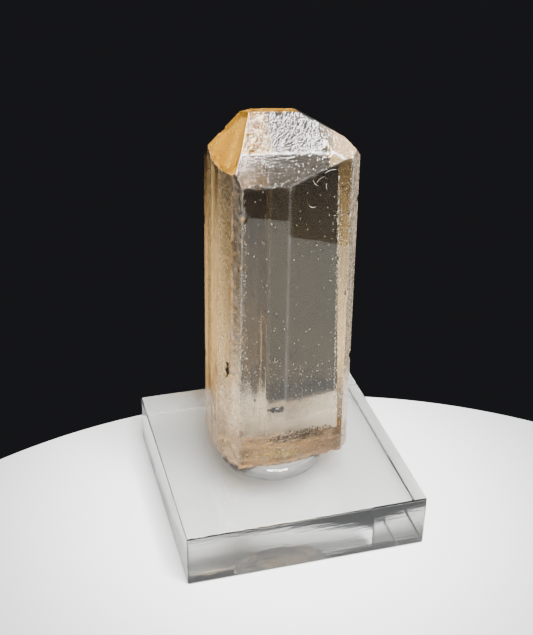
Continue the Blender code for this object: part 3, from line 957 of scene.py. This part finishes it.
class Paint:
    """Helps to build a material's nodes."""

    def __init__(self, name):
        self.material = bpy.data.materials.new(name)
        self.material.use_nodes = True
        self.tree = self.material.node_tree
        self.shader = self.tree.nodes["Principled BSDF"]
        self.output = self.tree.nodes["Material Output"]
        self.object_place = self.node("ShaderNodeTexCoord").outputs["Object"]

    def node(self, kind, inputs=None, **settings):
        """A new node, with what its inputs are given and its settings."""
        made = self.tree.nodes.new(kind)
        for name, value in settings.items():
            setattr(made, name, value)
        for socket, value in (inputs or {}).items():
            self.fill(made.inputs[socket], value)
        return made

    def link(self, source, target):
        self.tree.links.new(source, target)

    def fill(self, socket, value):
        """Give a socket a number, a colour or another node's output."""
        if isinstance(value, bpy.types.NodeSocket):
            self.link(value, socket)
        else:
            socket.default_value = value

    def give(self, socket, value):
        """Give one of the shader's own sockets a number, a colour or another node's output."""
        self.fill(self.shader.inputs[socket], value)

    def attribute(self, name):
        """The four values that the mesh keeps under a name."""
        kept = self.node("ShaderNodeAttribute", attribute_name=name)
        split = self.node("ShaderNodeSeparateColor", {0: kept.outputs["Color"]})
        return (*split.outputs, kept.outputs["Alpha"])

    def part_of(self, vector, axis):
        """One axis's part of a vector."""
        return self.node("ShaderNodeSeparateXYZ", {0: vector}).outputs[axis]

    def stretched(self, scale, turn=(0.0, 0.0, 0.0)):
        """The object's coordinates, turned and then divided by a size for each axis."""
        source = self.object_place
        if any(turn):
            angles = [math.radians(angle) for angle in turn]
            inputs = {"Vector": source, "Rotation": angles}
            source = self.node("ShaderNodeVectorRotate", inputs, rotation_type="EULER_XYZ").outputs[0]
        inputs = {0: source, 1: [1 / size for size in scale]}
        return self.node("ShaderNodeVectorMath", inputs, operation="MULTIPLY").outputs[0]

    def noise(self, size, detail=2.0, turn=(0.0, 0.0, 0.0), roughness=0.5):
        """Noise with features of a given size, a number or one for each axis."""
        place = self.stretched(size if isinstance(size, tuple) else (size,) * 3, turn)
        inputs = {"Vector": place, "Scale": 1.0, "Detail": detail, "Roughness": roughness}
        return self.node("ShaderNodeTexNoise", inputs).outputs["Fac"]

    def cells(self, size):
        """The distance from the middles of cells of a given size."""
        inputs = {"Vector": self.stretched((size,) * 3), "Scale": 1.0}
        return self.node("ShaderNodeTexVoronoi", inputs).outputs["Distance"]

    def math(self, operation, first, second=0.0, clamp=False):
        inputs = {0: first, 1: second}
        return self.node("ShaderNodeMath", inputs, operation=operation, use_clamp=clamp).outputs[0]

    def product(self, first, second, third):
        return self.math("MULTIPLY", self.math("MULTIPLY", first, second), third)

    def ramp(self, value, low, high, to_low=0.0, to_high=1.0):
        """A smooth change from one value to another while an input goes from low to high."""
        inputs = {"Value": value, "From Min": low, "From Max": high, "To Min": to_low, "To Max": to_high}
        return self.node("ShaderNodeMapRange", inputs, interpolation_type="SMOOTHSTEP").outputs[0]

    def mixed(self, share, first, second, blend="MIX"):
        """A mix of two colours."""
        inputs = {"Factor": share, "A": first, "B": second}
        return self.node("ShaderNodeMix", inputs, data_type="RGBA", blend_type=blend).outputs["Result"]

    def bump(self, height, *targets):
        """Bump from a height in metres."""
        made = self.node("ShaderNodeBump", {"Strength": 1.0, "Distance": 1.0, "Height": height})
        for target in targets:
            self.give(target, made.outputs[0])

    def glass(self, bending):
        self.give("Base Color", (1, 1, 1, 1))
        self.give("Transmission Weight", 1.0)
        self.shader.inputs["IOR"].default_value = bending


def growth_steps(paint):
    """The height of the growth steps: they tilt, and each ends with a drop back."""
    across = paint.part_of(paint.stretched((STEP_WIDTH,) * 3), "X")
    steps_on = paint.math("SUBTRACT", across, LAST_STEP / STEP_WIDTH)
    before_last = paint.math("LESS_THAN", steps_on, 0.0)
    after_first = paint.math("GREATER_THAN", steps_on, -STEP_COUNT)
    within = paint.math("MULTIPLY", before_last, after_first)
    share = paint.math("MULTIPLY", paint.math("FRACT", steps_on), within)
    return paint.math("MULTIPLY", share, STEP_WIDTH * STEP_SLOPE)


def topaz_relief(paint, frost, lines, strokes, pits, stepped):
    """The height of the fine marks, each where its face has it."""
    line_noise = paint.noise(FINE_LINE_SIZE, detail=3.0)
    stroke_noise = paint.noise(FINE_STROKE_SIZE, detail=2.0, turn=FINE_STROKE_TURN)
    frost_noise = paint.noise(FROST_SIZE, detail=3.0, roughness=0.65)
    marks = [
        (line_noise, FINE_LINE_HEIGHT, lines),
        (paint.ramp(stroke_noise, *FINE_STROKE_RAMP), FINE_STROKE_HEIGHT, strokes),
        (paint.ramp(paint.cells(PIT_SPACING), *PIT_RAMP), PIT_HEIGHT, pits),
        (frost_noise, FROST_HEIGHT, frost),
    ]
    height = paint.math("MULTIPLY", growth_steps(paint), stepped)
    for mark, tallest, share in marks:
        height = paint.math("ADD", height, paint.product(mark, tallest, share))
    return height


def topaz_wear(paint, frost, lines, veil, matte):
    """How rough, how clear and how veiled the topaz's skin is, streaky and patchy as it is worn."""
    patch = paint.ramp(paint.noise(PATCH_SIZE, detail=3.0), *PATCH_RAMP)
    streak = paint.ramp(paint.noise(STREAK_SIZE, detail=3.0), *STREAK_RAMP)
    streak = paint.math("ADD", paint.math("MULTIPLY", streak, lines), 1.0)
    speckle = paint.ramp(paint.noise(SPECKLE_SIZE, detail=3.0, roughness=0.7), *SPECKLE_RAMP)
    rough = paint.math("MULTIPLY", paint.product(frost, frost, FROST_ROUGHNESS), patch)
    coat = paint.math("MULTIPLY", paint.product(veil, streak, speckle), patch, clamp=True)
    matte = paint.math("MULTIPLY", matte, paint.math("MULTIPLY", streak, speckle))
    paint.give("Roughness", paint.math("ADD", rough, POLISH_ROUGHNESS))
    paint.give("Transmission Weight", paint.math("SUBTRACT", 1.0, matte, clamp=True))
    paint.give("Coat Weight", coat)


def topaz_material():
    """Clear orange topaz: growth lines, etched strokes, pits and frosting where each face has them."""
    paint = Paint("topaz")
    paint.glass(TOPAZ_BENDING)
    volume = paint.node("ShaderNodeVolumeAbsorption")
    volume.inputs["Color"].default_value = TOPAZ_ABSORPTION
    volume.inputs["Density"].default_value = TOPAZ_DENSITY
    paint.link(volume.outputs[0], paint.output.inputs["Volume"])
    frost, lines, strokes, pits = paint.attribute("finish")
    veil, stepped, matte, painted_glow = paint.attribute("skin")
    paint.bump(topaz_relief(paint, frost, lines, strokes, pits, stepped), "Normal", "Coat Normal")
    topaz_wear(paint, frost, lines, veil, matte)
    # Painted glow: the matte skin takes the orange of light seen through the crystal, as strong as its tint
    # is set
    paint.give("Base Color", paint.mixed(painted_glow, (1.0, 1.0, 1.0, 1.0), PAINTED_GLOW))
    paint.shader.inputs["Coat Roughness"].default_value = VEIL_ROUGHNESS
    return paint.material


def grain_material():
    """Broken specks of topaz: pale, with a little of the crystal's colour."""
    paint = Paint("grains")
    tone = paint.ramp(paint.noise(0.5 * MM, detail=1.0), 0.42, 0.68)
    paint.give("Base Color", paint.mixed(tone, DARK_GRAIN, PALE_GRAIN))
    paint.shader.inputs["IOR"].default_value = TOPAZ_BENDING
    paint.give("Transmission Weight", 0.35)
    paint.give("Roughness", 0.35)
    return paint.material


def flake_material():
    """Flakes and hollows inside the crystal, each with its own tint."""
    paint = Paint("flakes")
    tint = paint.node("ShaderNodeAttribute", attribute_name="tint")
    shade = paint.ramp(paint.noise(0.3 * MM, detail=2.0), 0.35, 0.65, 0.6, 1.0)
    paint.give("Base Color", paint.mixed(1.0, tint.outputs["Color"], shade, blend="MULTIPLY"))
    paint.give("Roughness", 0.4)
    paint.give("Specular IOR Level", 0.25)
    return paint.material


def adhesive_material():
    """Clear adhesive with a trace of milkiness in its skin."""
    paint = Paint("adhesive")
    paint.glass(ADHESIVE_BENDING)
    paint.give("Base Color", ADHESIVE_COLOUR)
    paint.give("Transmission Weight", ADHESIVE_CLEARNESS)
    ripple = paint.noise(1.4 * MM, detail=2.0)
    paint.bump(paint.math("MULTIPLY", ripple, RIPPLE_HEIGHT), "Normal")
    haze = paint.noise(0.8 * MM, detail=3.0)
    paint.give("Roughness", paint.ramp(haze, 0.35, 0.7, 0.01, 0.06))
    return paint.material


def acrylic_material():
    """Clear acrylic: its top polished, its sides with faint saw lines."""
    paint = Paint("acrylic")
    paint.glass(ACRYLIC_BENDING)
    geometry = paint.node("ShaderNodeNewGeometry")
    upright = paint.math("ABSOLUTE", paint.part_of(geometry.outputs["True Normal"], "Z"))
    side = paint.math("SUBTRACT", 1.0, upright, clamp=True)
    saw = paint.noise(SAW_LINE_SIZE, detail=3.0)
    paint.bump(paint.product(saw, SAW_LINE_HEIGHT, side), "Normal")
    haze = paint.noise(3 * MM, detail=4.0)
    paint.give("Roughness", paint.ramp(haze, 0.4, 0.7, 0.0, 0.03))
    return paint.material


def floor_material():
    """The table top's pale matte skin, painted brighter round the block as a pool of light."""
    paint = Paint("pale_floor")
    table = paint.mixed(paint.noise(30 * MM, detail=3.0), *FLOOR_TONES)
    away = paint.node("ShaderNodeVectorMath", {0: paint.object_place}, operation="LENGTH")
    # Painted light: the floor is much paler near the block, a pool of light painted round it
    near = paint.ramp(away.outputs["Value"], *FLOOR_PAINTED_LIGHT_REACH, 1.0, 0.0)
    paint.give("Base Color", paint.mixed(near, table, FLOOR_PAINTED_LIGHT_TONE))
    paint.give("Roughness", 0.7)
    return paint.material


def make_camera():
    """The camera that took the photograph."""
    data = bpy.data.cameras.new("camera")
    data.lens = CAMERA_LENS_MM
    data.clip_start = CAMERA_NEAREST
    camera = added("camera", data)
    turn = (
        Matrix.Rotation(-math.radians(CAMERA_TURN), 4, "Z")
        @ Matrix.Rotation(math.radians(90 - CAMERA_DIP), 4, "X")
        @ Matrix.Rotation(math.radians(CAMERA_ROLL), 4, "Z")
    )
    camera.matrix_world = Matrix.Translation(CAMERA_PLACE) @ turn
    bpy.context.scene.camera = camera


def make_lamp(name, place):
    """One round lamp of the ring, which looks at the ring's target."""
    data = bpy.data.lights.new(name, "AREA")
    data.shape = "DISK"
    data.size = LAMP_SIZE
    data.energy = RING_POWER / RING_LAMPS
    lamp = added(name, data)
    lamp.location = place
    lamp.rotation_euler = (RING_TARGET - place).to_track_quat("-Z", "Y").to_euler()


def make_lights():
    """A ring of lamps."""
    axis = facing(RING_AZIMUTH, RING_SLOPE)
    side, up = axes_of(axis)
    middle = RING_TARGET + axis * RING_DISTANCE
    for index in range(RING_LAMPS):
        turn = math.tau * index / RING_LAMPS
        place = middle + (side * math.cos(turn) + up * math.sin(turn)) * RING_RADIUS
        make_lamp(f"ring_{index}", place)


def floor_edge(turn):
    """The table's radius towards a direction, pulled in at the front."""
    pull = FLOOR_PULL * max(0.0, math.cos(turn - math.radians(FLOOR_PULL_TURN))) ** 2
    return FLOOR_RADIUS * (1 - pull)


def make_floor():
    """The round table top, just below the block."""
    shape = bmesh.new()
    ring = []
    for index in range(FLOOR_STEPS):
        turn = math.tau * index / FLOOR_STEPS
        place = FLOOR_CENTRE + Vector((math.sin(turn), -math.cos(turn))) * floor_edge(turn)
        ring.append(shape.verts.new((*place, -FLOOR_GAP)))
    top = shape.faces.new(ring)
    below = bmesh.ops.extrude_face_region(shape, geom=[top])
    low = [item for item in below["geom"] if isinstance(item, bmesh.types.BMVert)]
    bmesh.ops.translate(shape, vec=(0.0, 0.0, -FLOOR_THICKNESS), verts=low)
    bmesh.ops.recalc_face_normals(shape, faces=shape.faces)
    floor = added("floor", mesh_from(shape, "floor"))
    floor.data.materials.append(floor_material())


def make_room():
    """A dark room, and the look in which the picture is shown."""
    world = bpy.data.worlds.new("dark_room")
    world.use_nodes = True
    world.node_tree.nodes["Background"].inputs["Color"].default_value = ROOM_COLOUR
    bpy.context.scene.world = world
    bpy.context.scene.view_settings.look = "AgX - Medium High Contrast"


def placed(piece, slot, material, *nodes):
    """Give a piece its material and body, and hide the solids that it stands for. Its slot is not used."""
    piece.data.materials.append(material)
    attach(piece, "root")
    if nodes:
        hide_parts(*nodes)


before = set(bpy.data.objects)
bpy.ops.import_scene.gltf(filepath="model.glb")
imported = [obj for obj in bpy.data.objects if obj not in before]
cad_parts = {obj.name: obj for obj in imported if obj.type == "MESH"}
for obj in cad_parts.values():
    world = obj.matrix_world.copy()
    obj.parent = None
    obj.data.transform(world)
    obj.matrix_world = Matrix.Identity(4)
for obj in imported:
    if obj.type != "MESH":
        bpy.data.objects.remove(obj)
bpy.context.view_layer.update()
make_camera()
make_floor()
make_room()
make_lights()
crystal, surface = make_crystal()
placed(crystal, "topaz", topaz_material(), "topaz_crystal")
placed(make_grains(surface), "topaz", grain_material())
placed(make_flakes(), "topaz", flake_material())
placed(make_drop(), "adhesive", adhesive_material(), "clear_adhesive")
placed(make_block(), "acrylic", acrylic_material(), "acrylic_base")
